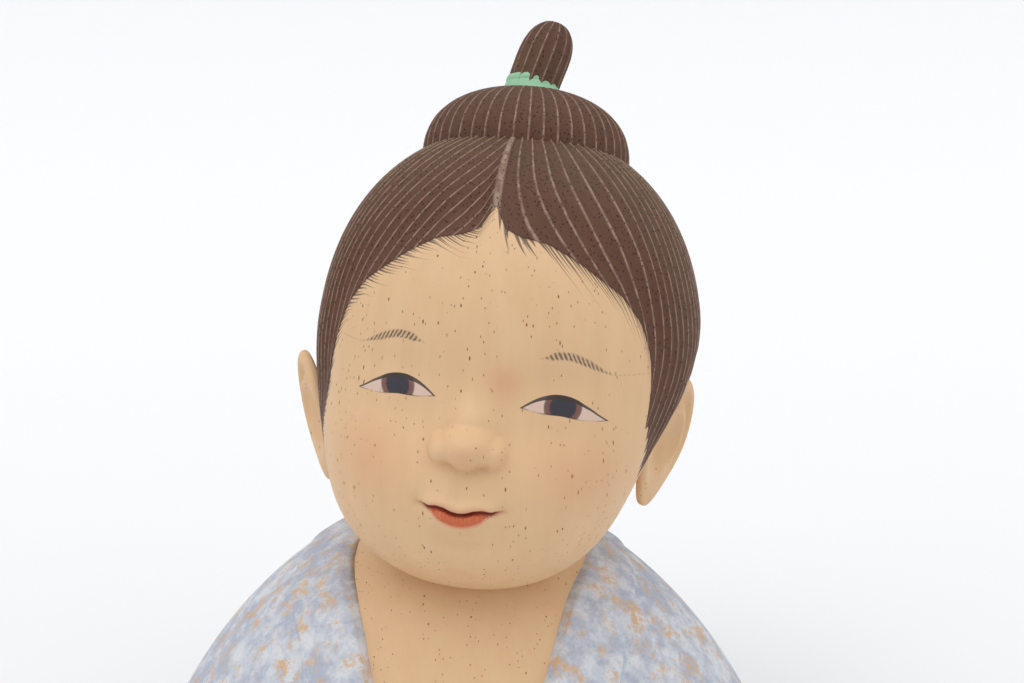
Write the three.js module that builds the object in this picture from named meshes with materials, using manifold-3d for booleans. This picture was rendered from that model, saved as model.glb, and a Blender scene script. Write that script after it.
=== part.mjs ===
// Carved and painted wooden doll: the head and shoulders of a small child.
// Head, ears, combed hair, bun, topknot with its tie, neck, chest, robe and
// collar are one carved solid, cut flat below the shoulders.
// Units are millimetres and degrees. +Z is up, the doll faces -Y, and +X is on
// the right of someone who looks at its face. The origin is on the underside,
// below the neck.

import * as THREE from 'three';
import { mergeVertices } from 'three/addons/utils/BufferGeometryUtils.js';
import Module from 'manifold-3d';

const wasm = await Module();
wasm.setup();

// The head's own frame: x to the right, y to the back, z up, with the origin
// in the middle of the skull. The head is turned, bowed and rolled in that order.
const HEAD_CENTRE = new THREE.Vector3(10.5, 0, 106);
const HEAD_YAW = 8.3;
const HEAD_BOW = -2.8;
const HEAD_ROLL = 2.5;

// The skull without its features. The jaw stands forward and a little aside,
// because the child tilts its face.
const SKULL = {
  halfWidth: 42.4,
  front: 44.5,
  back: 47,
  up: 51.3,
  down: 48.9,
  roundness: 2.26,
  jawNarrowing: 0.1,
  chinSetback: 0.15,
  napeHollow: 0.25,
  jawForward: 13.9,
  jawAside: 3.7,
};

// The features are laid out in the plane of the face: x from its middle line
// and z from the level of the eyes. That plane is rolled and shifted on the skull.
const FACE = { roll: 2.3, aside: -1.5, pivot: -10 };
const EYE = { apart: 17.2, halfLength: 8.2 };
const NOSE = {
  tip: { centre: [0, -46.4, -9], radii: [6, 7.4, 5] },
  wing: { centre: [5, -45.4, -10.3], radii: [3.7, 5.2, 3.6] },
};
const MOUTH = {
  lower: { centre: [0, -48.6, -23.7], radii: [5.8, 3.4, 2.2] },
  upper: { centre: [3.4, -48.9, -20.7], radii: [4.8, 2.8, 1.5] },
};
const EAR = {
  halfLength: 15.5,
  halfWidth: 8.3,
  thickness: 3.4,
  centre: [40.4, -6, -15.5],
  turnedOut: 30,
  leansBack: 6,
  leansIn: 12,
  aside: -3.8,
};

// The hair is combed from the hairline up to the bun. Each flute between two
// strands is cut to a depth, and the cap thins out towards the hairline.
const HAIR = {
  axisTilt: 14,
  strands: 72,
  thickness: 1.5,
  edgeThickness: 0.4,
  fluteDepth: 0.5,
  partingSweep: 28,
  underBun: 19,
};
const BUN = { radius: 24.2, middle: 46.5, rise: 16.4, drop: 8, roundness: 2.3, flutes: 44, fluteDepth: 0.5 };
const TIE = { foot: 61, height: 5.2, lowerRadius: 6.9, upperRadius: 5.9 };
const TOPKNOT = { foot: 63, height: 16.4, radius: 6.3, widestAt: 0.35, lean: 4.8, flutes: 14, fluteDepth: 0.4 };

// The robed body. Its half width is the upper part of an ellipse whose centre
// lies below the underside.
const TORSO = {
  centreX: -1,
  widthRadius: 89,
  heightRadius: 129.2,
  centreHeight: -60,
  front: 52,
  frontTop: 74,
  back: 48,
  backTop: 77,
  top: 68.6,
  roundness: 2.2,
};
const CHEST = { inset: 1.8, neckHalfWidth: 26, neckFront: 23, neckBack: 20, top: 80, neckLean: 7 };
const COLLAR = { proud: 1.4, depth: 4.4 };
const BELOW_UNDERSIDE = 8;

const radians = THREE.MathUtils.degToRad;
const ramp = (from, to, value) => THREE.MathUtils.smoothstep((value - from) / (to - from), 0, 1);
const sumOfSquares = (ratios) => ratios.reduce((sum, ratio) => sum + ratio * ratio, 0);
const hill = (...ratios) => Math.exp(-sumOfSquares(ratios));

// A solid from shared vertices. Triangles that enclose a negative volume are
// turned over, so that faces point outwards.
function solidFrom(positions, indices) {
  const corners = [new THREE.Vector3(), new THREE.Vector3(), new THREE.Vector3()];
  let volume = 0;
  for (let i = 0; i < indices.length; i += 3) {
    corners.forEach((corner, k) => corner.fromArray(positions, indices[i + k] * 3));
    volume += corners[0].dot(corners[1].cross(corners[2]));
  }
  return new wasm.Manifold(new wasm.Mesh({
    numProp: 3,
    vertProperties: Float32Array.from(positions),
    triVerts: Uint32Array.from(volume > 0 ? indices : [...indices].reverse()),
  }));
}

// A closed surface from a function of a column's share of the way round and of
// a row's number. Row 0 and the last row are single points. The quads of its
// two halves are split as mirror images.
function closedSurface(columns, rows, place) {
  const positions = [];
  const indices = [];
  const put = (point) => positions.push(point.x, point.y, point.z);
  put(place(0, 0));
  for (let row = 1; row < rows; row += 1) {
    for (let column = 0; column < columns; column += 1) put(place(column / columns, row));
  }
  put(place(0, rows));
  const last = positions.length / 3 - 1;
  const index = (column, row) => {
    if (row === 0) return 0;
    return row === rows ? last : 1 + (row - 1) * columns + (column % columns);
  };
  for (let row = 0; row < rows; row += 1) {
    for (let column = 0; column < columns; column += 1) {
      const [near, far] = [index(column, row), index(column + 1, row)];
      const [nearAbove, farAbove] = [index(column, row + 1), index(column + 1, row + 1)];
      const mirrored = column < columns / 2;
      if (row > 0) indices.push(near, far, mirrored ? nearAbove : farAbove);
      if (row < rows - 1) indices.push(mirrored ? far : near, farAbove, nearAbove);
    }
  }
  return solidFrom(positions, indices);
}

function solidOfGeometry(geometry) {
  return solidFrom([...geometry.attributes.position.array], [...geometry.index.array]);
}

// The bare skull seen from its middle in one direction. Its radius depends on
// the height that it reaches, so it is found in four rounds.
function skullPoint(direction) {
  const { x, y, z } = direction;
  let radius = SKULL.halfWidth;
  for (let round = 0; round < 4; round += 1) {
    const height = radius * z;
    const width = SKULL.halfWidth * (1 - SKULL.jawNarrowing * ramp(12, -27, height));
    const front = SKULL.front * (1 - SKULL.chinSetback * ramp(-10, -46, height));
    const back = SKULL.back * (1 - SKULL.napeHollow * ramp(-5, -40, height));
    const ratios = [x / width, y / (y < 0 ? front : back), z / (z > 0 ? SKULL.up : SKULL.down)];
    radius = ratios.reduce((sum, ratio) => sum + Math.abs(ratio) ** SKULL.roundness, 0) ** (-1 / SKULL.roundness);
  }
  return shiftJaw(direction.clone().multiplyScalar(radius));
}

function shiftJaw(point) {
  const height = point.z;
  point.y -= SKULL.jawForward * ramp(0, -38, height);
  point.x -= SKULL.jawAside * ramp(15, -30, height);
  return point;
}

// From the head's x and z to the plane of the face, and back again.
function toFace(x, z) {
  const turned = new THREE.Vector2(x - FACE.aside, z - FACE.pivot)
    .rotateAround(new THREE.Vector2(), radians(FACE.roll));
  return [turned.x, turned.y + FACE.pivot];
}

function fromFace([x, y, z]) {
  const turned = new THREE.Vector2(x, z - FACE.pivot).rotateAround(new THREE.Vector2(), radians(-FACE.roll));
  return new THREE.Vector3(turned.x + FACE.aside, y, turned.y + FACE.pivot);
}

// How far the soft forms of the face stand in front of the bare skull.
function faceRelief(x, z) {
  const side = Math.abs(x);
  const sockets = -1.6 * hill((side - EYE.apart) / 9, (z - 2) / 6.5);
  const eyeballs = 1.1 * hill((side - EYE.apart) / EYE.halfLength, z / 4);
  const cheeks = 2.2 * hill((side - 22) / 11, (z + 17) / 10);
  const muzzle = 2.6 * hill(x / 9.5, (z + 19) / 8.5);
  const bridge = 3.6 * hill(x / 4.6, (z + 5) / 5.5);
  const chin = 1.8 * hill(x / 9, (z + 35) / 6);
  const chinGroove = -1 * hill(x / 7, (z + 28.5) / 2.2);
  return sockets + eyeballs + cheeks + muzzle + bridge + chin + chinGroove;
}

// The face and skull. Columns and rows crowd together on the face.
const HEAD_COLUMNS = 40;
const HEAD_ROWS = 28;
const CROWDED_ELEVATION = -14;

function headSurface(share, row) {
  const across = 2 * share - 1;
  const azimuth = Math.PI * (0.3 * across + 0.7 * across ** 3);
  const climb = 2 * row / HEAD_ROWS - 1;
  const reach = climb > 0 ? 90 - CROWDED_ELEVATION : 90 + CROWDED_ELEVATION;
  const spread = 0.4 * Math.abs(climb) + 0.6 * Math.abs(climb) ** 2.2;
  const elevation = radians(CROWDED_ELEVATION + Math.sign(climb) * reach * spread);
  const direction = new THREE.Vector3(
    Math.sin(azimuth) * Math.cos(elevation),
    -Math.cos(azimuth) * Math.cos(elevation),
    Math.sin(elevation),
  );
  const point = skullPoint(direction);
  point.y -= ramp(0.1, 0.5, -direction.y) * faceRelief(...toFace(point.x, point.z));
  return point;
}

// An egg-shaped lump of the face, tipped in its plane. A lump with a side is
// mirrored for the other side of the face.
function faceLump({ centre, radii }, side = 1, tip = 0) {
  const columns = 11;
  const rows = 7;
  return closedSurface(columns, rows, (share, row) => {
    const fromPole = Math.PI * row / rows;
    const turn = 2 * Math.PI * share;
    const point = new THREE.Vector3(
      radii[0] * Math.cos(turn) * Math.sin(fromPole),
      -radii[1] * Math.cos(fromPole),
      radii[2] * Math.sin(turn) * Math.sin(fromPole),
    ).applyAxisAngle(new THREE.Vector3(0, 1, 0), radians(tip));
    return fromFace([side * (centre[0] + point.x), centre[1] + point.y, centre[2] + point.z]);
  });
}

function faceFeatures() {
  const pairs = [1, -1].flatMap((side) => [
    faceLump(NOSE.wing, side),
    faceLump(MOUTH.upper, side, 5),
  ]);
  return [faceLump(NOSE.tip), faceLump(MOUTH.lower), ...pairs];
}

// An ear, on the right for side 1 and on the left for side -1: an oval leaf
// with a raised rim round a hollow.
const EAR_COLUMNS = 16;
const EAR_ROWS = 9;

function earSurface(side) {
  return closedSurface(EAR_COLUMNS, EAR_ROWS, (share, row) => {
    const turn = 2 * Math.PI * share;
    const fromMiddle = Math.sin(Math.PI * row / EAR_ROWS);
    const outward = Math.cos(Math.PI * row / EAR_ROWS);
    const lobe = 1 - 0.25 * ramp(0.2, -1, Math.sin(turn));
    const hollow = outward > 0 ? -2.4 * hill(fromMiddle / 0.55) : 0;
    const leaf = new THREE.Vector3(
      EAR.thickness * outward * 0.5 + hollow,
      EAR.halfWidth * lobe * fromMiddle * Math.cos(turn),
      EAR.halfLength * fromMiddle * Math.sin(turn),
    );
    leaf.applyAxisAngle(new THREE.Vector3(1, 0, 0), radians(-EAR.leansBack));
    leaf.applyAxisAngle(new THREE.Vector3(0, 0, 1), radians(-EAR.turnedOut));
    leaf.applyAxisAngle(new THREE.Vector3(0, 1, 0), radians(EAR.leansIn));
    leaf.add(new THREE.Vector3(...EAR.centre));
    leaf.x = side * leaf.x + EAR.aside;
    return leaf;
  });
}

// A point by its distances along the bun's axis and square to it.
function alongBunAxis(sideways, backward, axial) {
  const tilt = radians(HAIR.axisTilt);
  return new THREE.Vector3(
    sideways,
    backward * Math.cos(tilt) + axial * Math.sin(tilt),
    axial * Math.cos(tilt) - backward * Math.sin(tilt),
  );
}

// A direction by its angle round the bun's axis, 0 at the front and 90 on the
// right, and its angle away from that axis.
function fromBunAxis(around, away) {
  const outward = Math.sin(radians(away));
  return alongBunAxis(
    outward * Math.sin(radians(around)),
    -outward * Math.cos(radians(around)),
    Math.cos(radians(away)),
  );
}

// The hairline as its angle away from the bun's axis at each angle round it,
// from the parting over temple, sideburn and ear to the nape.
const hairlineSamples = new THREE.SplineCurve([
  [0, 54], [3.5, 60], [8, 62], [15, 63.2], [23, 67], [29, 70.5], [36, 74.2], [42.5, 80], [47.5, 88], [52, 97],
  [57, 107], [64, 117], [75, 125], [81, 119], [87, 106], [94, 99], [104, 99], [119, 106], [150, 114], [180, 117],
].map(([around, away]) => new THREE.Vector2(around, away))).getPoints(360);

function hairlineAngle(around) {
  const next = Math.max(1, hairlineSamples.findIndex((sample) => sample.x >= around));
  const [before, after] = [hairlineSamples[next - 1], hairlineSamples[next]];
  return THREE.MathUtils.mapLinear(around, before.x, after.x, before.y, after.y);
}

// The combed hair. A strand leaves the bun, runs down beside the parting and
// sweeps outwards to its end on the hairline. Crests and valleys alternate.
// The last two rows close the cap inside the skull.
const HAIR_ROWS = 10;

function hairSurface(share, row) {
  if (row === 0) return alongBunAxis(0, 0, BUN.middle);
  if (row === HAIR_ROWS) return new THREE.Vector3();
  const around = 360 * share - 180;
  const end = Math.abs(around);
  const start = end - HAIR.partingSweep * (1 - Math.exp(-end / 33)) * ramp(175, 60, end);
  const along = Math.min(1, (row - 1) / (HAIR_ROWS - 3));
  const angle = THREE.MathUtils.lerp(start, end, along ** 1.7);
  const away = THREE.MathUtils.lerp(HAIR.underBun, hairlineAngle(end), along);
  const direction = fromBunAxis(Math.sign(around) * angle, away);
  const skull = skullPoint(direction);
  if (row === HAIR_ROWS - 1) return skull.multiplyScalar(0.93);
  const crest = Math.round(share * 2 * HAIR.strands) % 2 === 0;
  const crowding = ramp(-4, 10, angle);
  const flute = crest ? 0 : HAIR.fluteDepth * crowding * ramp(1.05, 0.9, along);
  const body = THREE.MathUtils.lerp(HAIR.thickness, HAIR.edgeThickness, ramp(0.7, 1, along));
  return skull.addScaledVector(direction, body - flute);
}

// The bun: a squashed dome round its axis, with flutes that fade at its top.
const BUN_ROWS = 8;

function bunSurface(share, row) {
  const turn = 2 * Math.PI * share;
  const rise = Math.PI * (row / BUN_ROWS - 0.5);
  const power = 2 / BUN.roundness;
  const climb = Math.sign(rise) * Math.abs(Math.sin(rise)) ** power;
  const fullness = Math.max(0, Math.cos(rise)) ** power;
  const crest = Math.round(share * 2 * BUN.flutes) % 2 === 0;
  const radius = BUN.radius * fullness - (crest ? 0 : BUN.fluteDepth * Math.min(1, 1.4 * fullness));
  return alongBunAxis(
    Math.max(0, radius) * Math.sin(turn),
    -Math.max(0, radius) * Math.cos(turn),
    BUN.middle + climb * (climb > 0 ? BUN.rise : BUN.drop),
  );
}

// The tie: a low ring round the foot of the topknot that flares to the bun.
const TIE_PROFILE = [[0, 0], [1, 0], [1.03, 0.35], [0.97, 0.8], [0.88, 1], [0, 1]];

function tieSurface(share, row) {
  const [wide, high] = TIE_PROFILE[row];
  const turn = 2 * Math.PI * share;
  const radius = wide * THREE.MathUtils.lerp(TIE.lowerRadius, TIE.upperRadius, high);
  return alongBunAxis(radius * Math.sin(turn), -radius * Math.cos(turn), TIE.foot + high * TIE.height);
}

// The topknot: a short fluted tuft that leans to the right, with a slanting
// rounded tip.
const TOPKNOT_ROWS = 9;

function topknotSurface(share, row) {
  const climb = row / TOPKNOT_ROWS;
  const turn = 2 * Math.PI * share;
  const fromWidest = Math.max(0, climb - TOPKNOT.widestAt) / (1 - TOPKNOT.widestAt);
  const fullness = Math.max(0, 1 - fromWidest ** 2.6) ** 0.45;
  const crest = Math.round(share * 2 * TOPKNOT.flutes) % 2 === 0;
  const radius = row === 0 ? 0 : fullness * (TOPKNOT.radius - (crest ? 0 : TOPKNOT.fluteDepth));
  const slant = 0.25 * radius * Math.sin(turn) * climb;
  return alongBunAxis(
    TOPKNOT.lean * climb + radius * Math.sin(turn),
    -radius * Math.cos(turn),
    TOPKNOT.foot + TOPKNOT.height * climb - slant,
  );
}

// Half width, front depth and back depth of the robed body at a height.
function torsoSection(height) {
  const climb = (height - TORSO.centreHeight) / TORSO.heightRadius;
  const fall = (top, power) => Math.sqrt(1 - (Math.max(0, height) / top) ** power);
  return {
    width: TORSO.widthRadius * Math.sqrt(1 - climb * climb),
    front: TORSO.front * fall(TORSO.frontTop, 2.2),
    back: TORSO.back * fall(TORSO.backTop, 2.4),
  };
}

// The point of a section, pushed out by a distance, on the line from the
// body's axis through (x, y).
function onSection({ width, front, back }, x, y, height, proud) {
  const ratios = [x / width, y / (y < 0 ? front : back)];
  const size = ratios.reduce((sum, ratio) => sum + Math.abs(ratio) ** TORSO.roundness, 0) ** (1 / TORSO.roundness);
  const scale = 1 / size + proud / Math.hypot(x, y);
  return new THREE.Vector3(TORSO.centreX + x * scale, y * scale, height);
}

const TORSO_ROWS = 11;

function torsoSurface(share, row) {
  if (row === 0) return new THREE.Vector3(TORSO.centreX, 0, -BELOW_UNDERSIDE);
  if (row === TORSO_ROWS) return new THREE.Vector3(TORSO.centreX, 0, TORSO.top + 0.4);
  const climb = ((row - 1) / (TORSO_ROWS - 2)) ** 0.75;
  const height = THREE.MathUtils.lerp(-BELOW_UNDERSIDE, TORSO.top, climb);
  const turn = 2 * Math.PI * share;
  return onSection(torsoSection(height), Math.sin(turn), -Math.cos(turn), height, 0);
}

// The bare chest and neck: the body drawn in by the robe's thickness, until it
// becomes a column that leans under the head.
const CHEST_ROWS = 10;

function chestSurface(share, row) {
  if (row === 0) return new THREE.Vector3(TORSO.centreX, 0, -BELOW_UNDERSIDE);
  if (row === CHEST_ROWS) return new THREE.Vector3(TORSO.centreX + CHEST.neckLean, 0, CHEST.top + 0.5);
  const height = THREE.MathUtils.lerp(-BELOW_UNDERSIDE, CHEST.top, ((row - 1) / (CHEST_ROWS - 2)) ** 0.8);
  const body = torsoSection(Math.min(height, TORSO.top));
  const section = {
    width: Math.max(body.width - CHEST.inset, CHEST.neckHalfWidth),
    front: Math.max(body.front - CHEST.inset, CHEST.neckFront),
    back: Math.max(body.back - CHEST.inset, CHEST.neckBack),
  };
  const turn = 2 * Math.PI * share;
  const point = onSection(section, Math.sin(turn), -Math.cos(turn), height, 0);
  point.x += CHEST.neckLean * ramp(52, CHEST.top, height);
  return point;
}

// The collar's two edges, from the lower left over the nape to the lower
// right. Only their height and direction count: they are laid on the body.
const collarInner = new THREE.CatmullRomCurve3([
  [-8, -52, -8], [-13.5, -50, 20], [-20.4, -40, 45], [-25, -28, 57], [-27.5, -5, 63.2], [-19, 17, 65.2], [0, 24, 68],
  [19, 17, 64.4], [27.5, -5, 62.3], [24.5, -26, 57.6], [19.1, -40, 45], [8, -50, 20], [-2, -52, -8],
].map((point) => new THREE.Vector3(...point)));
const collarOuter = new THREE.CatmullRomCurve3([
  [-23, -51, -8], [-29, -47, 20], [-34.5, -35, 44], [-37, -24, 52], [-38, 0, 57.5], [-27, 27, 56.6], [0, 34, 57.6],
  [27, 27, 55.3], [38, 0, 56.1], [37, -22, 52], [34.5, -34, 44], [24, -48, 20], [14, -51, -8],
].map((point) => new THREE.Vector3(...point)));

// The collar's section, as shares across its width and of its depth.
const COLLAR_SECTION = [[0, 0], [0, 1], [0.33, 1], [0.67, 1], [1, 0.93], [1, 0], [0.67, 0], [0.33, 0]];
const COLLAR_ROWS = 26;

function collarSurface(share, row) {
  const along = THREE.MathUtils.clamp((row - 1) / (COLLAR_ROWS - 2), 0, 1);
  const isEnd = row === 0 || row === COLLAR_ROWS;
  const [across, high] = isEnd ? [0.5, 0.5] : COLLAR_SECTION[Math.round(share * COLLAR_SECTION.length)];
  const guide = collarInner.getPoint(along).lerp(collarOuter.getPoint(along), across);
  const proud = THREE.MathUtils.lerp(COLLAR.proud - COLLAR.depth, COLLAR.proud, high);
  return onSection(torsoSection(guide.z), guide.x - TORSO.centreX, guide.y, guide.z, proud);
}

// The opening of the robe in the front view, as deep as the body's middle. It
// is a little wider than the collar's inner edge, which hides the cut, and
// draws in at its top, where the neck hides it.
function robeOpening() {
  const steps = 12;
  const front = 0.33;
  const edge = (from, to, side) => Array.from({ length: steps + 1 }, (_, i) => {
    const point = collarInner.getPoint(THREE.MathUtils.lerp(from, to, i / steps));
    return new THREE.Vector2(point.x + side * (2.5 - 4 * ramp(45, 63, point.z)), point.z);
  });
  const outline = [
    ...edge(0, front, -1),
    new THREE.Vector2(-20, 90),
    new THREE.Vector2(20, 90),
    ...edge(1 - front, 1, 1),
  ];
  const cut = new THREE.ExtrudeGeometry(new THREE.Shape(outline), { depth: 70, bevelEnabled: false });
  cut.rotateX(Math.PI / 2);
  cut.deleteAttribute('normal');
  cut.deleteAttribute('uv');
  return solidOfGeometry(mergeVertices(cut));
}

function everythingBelowUnderside() {
  const block = new THREE.BoxGeometry(400, 400, 100);
  block.translate(0, 0, -50);
  block.deleteAttribute('normal');
  block.deleteAttribute('uv');
  return solidOfGeometry(mergeVertices(block));
}

const join = (solids) => solids.reduce((whole, solid) => whole.add(solid));

function carveHead() {
  const solids = [
    closedSurface(HEAD_COLUMNS, HEAD_ROWS, headSurface),
    closedSurface(2 * HAIR.strands, HAIR_ROWS, hairSurface),
    closedSurface(2 * BUN.flutes, BUN_ROWS, bunSurface),
    closedSurface(24, TIE_PROFILE.length - 1, tieSurface),
    closedSurface(2 * TOPKNOT.flutes, TOPKNOT_ROWS, topknotSurface),
    earSurface(1),
    earSurface(-1),
    ...faceFeatures(),
  ];
  const placing = new THREE.Matrix4().makeTranslation(HEAD_CENTRE)
    .multiply(new THREE.Matrix4().makeRotationY(radians(HEAD_ROLL)))
    .multiply(new THREE.Matrix4().makeRotationX(radians(HEAD_BOW)))
    .multiply(new THREE.Matrix4().makeRotationZ(radians(-HEAD_YAW)));
  return join(solids).transform(placing.elements);
}

function carveBody() {
  const robe = closedSurface(40, TORSO_ROWS, torsoSurface).subtract(robeOpening());
  return join([
    robe,
    closedSurface(28, CHEST_ROWS, chestSurface),
    closedSurface(COLLAR_SECTION.length, COLLAR_ROWS, collarSurface),
  ]);
}

function carveDoll() {
  const solid = carveHead().add(carveBody()).subtract(everythingBelowUnderside());
  const { vertProperties, triVerts } = solid.getMesh();
  const geometry = new THREE.BufferGeometry();
  geometry.setAttribute('position', new THREE.BufferAttribute(vertProperties, 3));
  geometry.setIndex(new THREE.BufferAttribute(triVerts, 1));
  geometry.computeVertexNormals();
  return geometry;
}

const paintedWood = new THREE.MeshStandardMaterial({ color: 0xd8b38a, roughness: 0.6, metalness: 0 });
const doll = new THREE.Mesh(carveDoll(), paintedWood);
doll.name = 'carved_doll';

const model = new THREE.Group();
model.add(doll);

export default model;
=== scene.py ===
"""Carved and painted wooden doll: head and shoulders of a small child.

The head is bare waxed wood with painted eyes, brows and lips. The hair, the bun
and the topknot are gouged into flutes and stained brown, and the robe is painted.
Shapes are worked out in millimetres: the head in its own frame (x to the right
of someone who looks at the face, y to the back, z up) and then turned into place.
"""

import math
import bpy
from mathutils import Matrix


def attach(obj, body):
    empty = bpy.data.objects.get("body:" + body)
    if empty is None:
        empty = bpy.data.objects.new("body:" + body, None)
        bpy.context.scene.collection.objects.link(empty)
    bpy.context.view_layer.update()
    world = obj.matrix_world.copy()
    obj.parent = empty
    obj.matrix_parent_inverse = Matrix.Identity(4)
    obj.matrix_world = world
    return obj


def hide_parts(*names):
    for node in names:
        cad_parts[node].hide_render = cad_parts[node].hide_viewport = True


bl_info = {
    "name": "Carved wooden doll",
    "version": (1, 0, 0),
    "blender": (4, 5, 0),
    "location": "View3D > Sidebar > Doll",
    "description": "Builds the head and shoulders of a carved and painted wooden doll",
    "category": "Object",
}

import bpy
import numpy as np
from bpy.props import FloatProperty, FloatVectorProperty, IntProperty, PointerProperty

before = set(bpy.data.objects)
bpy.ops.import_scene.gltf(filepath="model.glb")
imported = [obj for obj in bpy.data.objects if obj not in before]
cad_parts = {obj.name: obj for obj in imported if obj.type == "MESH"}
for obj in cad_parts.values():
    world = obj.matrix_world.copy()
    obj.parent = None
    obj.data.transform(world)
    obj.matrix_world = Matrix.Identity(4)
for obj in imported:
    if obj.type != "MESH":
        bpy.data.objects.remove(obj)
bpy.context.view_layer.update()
NODE = "carved_doll"
MM = 0.001


def linear(hex_colour):
    """An sRGB hex colour as linear red, green and blue."""
    shares = [int(hex_colour[i:i + 2], 16) / 255 for i in (1, 3, 5)]
    return tuple(s / 12.92 if s <= 0.04045 else ((s + 0.055) / 1.055) ** 2.4 for s in shares)


def length(name, description, millimetres):
    return FloatProperty(name=name, description=description, default=millimetres * MM, unit="LENGTH")


def paint(name, description, hex_colour):
    return FloatVectorProperty(
        name=name, description=description, default=linear(hex_colour), size=3, subtype="COLOR", min=0, max=1
    )


class HeadSizes(bpy.types.PropertyGroup):
    """Sizes of the skull, the ears and how the head is held."""

    half_width: length("Half width", "Middle of the skull to its side", 42.4)
    front: length("Front", "Middle of the skull to the forehead", 44.5)
    back: length("Back", "Middle of the skull to its back", 47)
    up: length("Up", "Middle of the skull to the crown", 51.3)
    down: length("Down", "Middle of the skull to the underside of the chin", 48.9)
    centre_height: length("Centre height", "Underside of the doll to the middle of the skull", 106)
    turned: FloatProperty(name="Turned", description="Head turned to its left", default=math.radians(8.3), unit="ROTATION")
    bowed: FloatProperty(name="Bowed", description="Head bowed forward", default=math.radians(-2.8), unit="ROTATION")
    rolled: FloatProperty(name="Rolled", description="Head tipped sideways", default=math.radians(2.5), unit="ROTATION")
    ear_half_length: length("Ear half length", "Middle of the ear to its top", 15.5)
    ear_half_width: length("Ear half width", "Middle of the ear to its rim", 8.3)


class HairSizes(bpy.types.PropertyGroup):
    """Sizes of the combed hair, the bun, the tie and the topknot."""

    strands: IntProperty(name="Strands", description="Gouged flutes on one side of the parting", default=34, min=8)
    thickness: length("Thickness", "Hair above the skull", 1.5)
    flute_depth: length("Flute depth", "Depth of a gouged flute between two crests", 0.5)
    bun_radius: length("Bun radius", "Middle of the bun to its side", 24.2)
    bun_rise: length("Bun rise", "Widest part of the bun to its top", 16.4)
    bun_flutes: IntProperty(name="Bun flutes", description="Flutes round the bun", default=46, min=8)
    tie_height: length("Tie height", "Height of the painted ring round the topknot", 5.2)
    topknot_height: length("Topknot height", "Foot of the topknot to its tip", 16.4)
    topknot_radius: length("Topknot radius", "Middle of the topknot to its side", 6.3)


class BodySizes(bpy.types.PropertyGroup):
    """Sizes of the robed body, the chest and the collar."""

    front: length("Front", "Middle of the body to its front", 52)
    back: length("Back", "Middle of the body to its back", 48)
    collar_proud: length("Collar proud", "Collar band above the robe", 1.3)
    chest_inset: length("Chest inset", "Bare chest below the robe", 1.9)


class DollColours(bpy.types.PropertyGroup):
    """Colours of the wood, the stain and the paints."""

    skin: paint("Skin", "Bare waxed wood", "#d9b086")
    skin_pale: paint("Pale skin", "Lighter grain of the bare wood", "#e4c196")
    pore: paint("Pores", "Open pores of the wood", "#8a5c38")
    # The red tint is faint on both cheeks and over the nose, and stronger in a patch at the right of the nose root.
    red_tint: paint("Blush", "Faint red stain on cheeks and between the eyes", "#d49a76")
    hair: paint("Hair", "Stained floor of the flutes", "#54392b")
    hair_warm: paint("Warm hair", "Redder patches of the stain", "#6b4431")
    hair_olive: paint("Olive hair", "Thin stain on the crown", "#6e5a46")
    hair_crest: paint("Hair crests", "Wood that shows on the crests", "#a88f7c")
    hair_brush: paint("Brush strokes", "Fine strokes at the hairline and the brows", "#5b4c43")
    tie: paint("Tie", "Mint paint of the tie", "#86bb93")
    lash: paint("Lash line", "Painted upper lid", "#3f3531")
    iris: paint("Iris", "Brown ring of the iris", "#7d5348")
    pupil: paint("Pupil", "Blue-black middle of the eye", "#393840")
    eye_white: paint("Eye white", "Pale paint of the eye", "#d9bfb2")
    lip: paint("Lip", "Orange-red lower lip", "#c9643d")
    lip_dark: paint("Lip line", "Dark red line between the lips", "#8a3018")
    lip_pale: paint("Pale lip", "Faint pink edge of the lips", "#dba283")
    robe: paint("Robe", "Grey-blue ground of the robe", "#a9b0c0")
    robe_pale: paint("Pale robe", "Whitish patches of the robe", "#d3d6db")
    robe_ochre: paint("Ochre", "Gold-ochre patches of the robe", "#d3a15c")


def ramp(start, stop, value):
    """Smooth step from 0 at start to 1 at stop. It falls where stop is below start."""
    share = np.clip((value - start) / (stop - start), 0, 1)
    return share * share * (3 - 2 * share)


def hill(*ratios):
    """Bell-shaped bump: 1 in the middle, e**-1 where the ratios' length is 1."""
    return np.exp(-sum(ratio * ratio for ratio in ratios))


def smooth_max(a, b, blend):
    """The larger of two heights, rounded over where they are nearly equal."""
    share = np.clip(0.5 + 0.5 * (a - b) / blend, 0, 1)
    return a * share + b * (1 - share) + blend * share * (1 - share)


def curve(points, at, smoothing=0.0):
    """A line through (x, y) points read off at x. Smoothing rounds its corners over that width."""
    xs, ys = np.array(points, float).T
    steps = np.linspace(xs[0], xs[-1], 721)
    line = np.interp(steps, xs, ys)
    if smoothing:
        reach = max(1, int(smoothing / (steps[1] - steps[0])))
        weights = np.hanning(2 * reach + 3)[1:-1]
        line = np.convolve(np.pad(line, reach, mode="edge"), weights / weights.sum(), mode="valid")
    return np.interp(at, steps, line)


def turn(axis, angle):
    """Rotation matrix about x (0), y (1) or z (2)."""
    c, s = math.cos(angle), math.sin(angle)
    return np.roll(np.roll(np.array([[1, 0, 0], [0, c, -s], [0, s, c]]), axis, 0), axis, 1)


def directions(azimuth, elevation):
    """Unit vectors by azimuth, 0 at the face and positive to the right, and elevation."""
    return np.stack([
        np.sin(azimuth) * np.cos(elevation),
        -np.cos(azimuth) * np.cos(elevation),
        np.sin(elevation) + 0 * azimuth,
    ], axis=-1)


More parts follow.
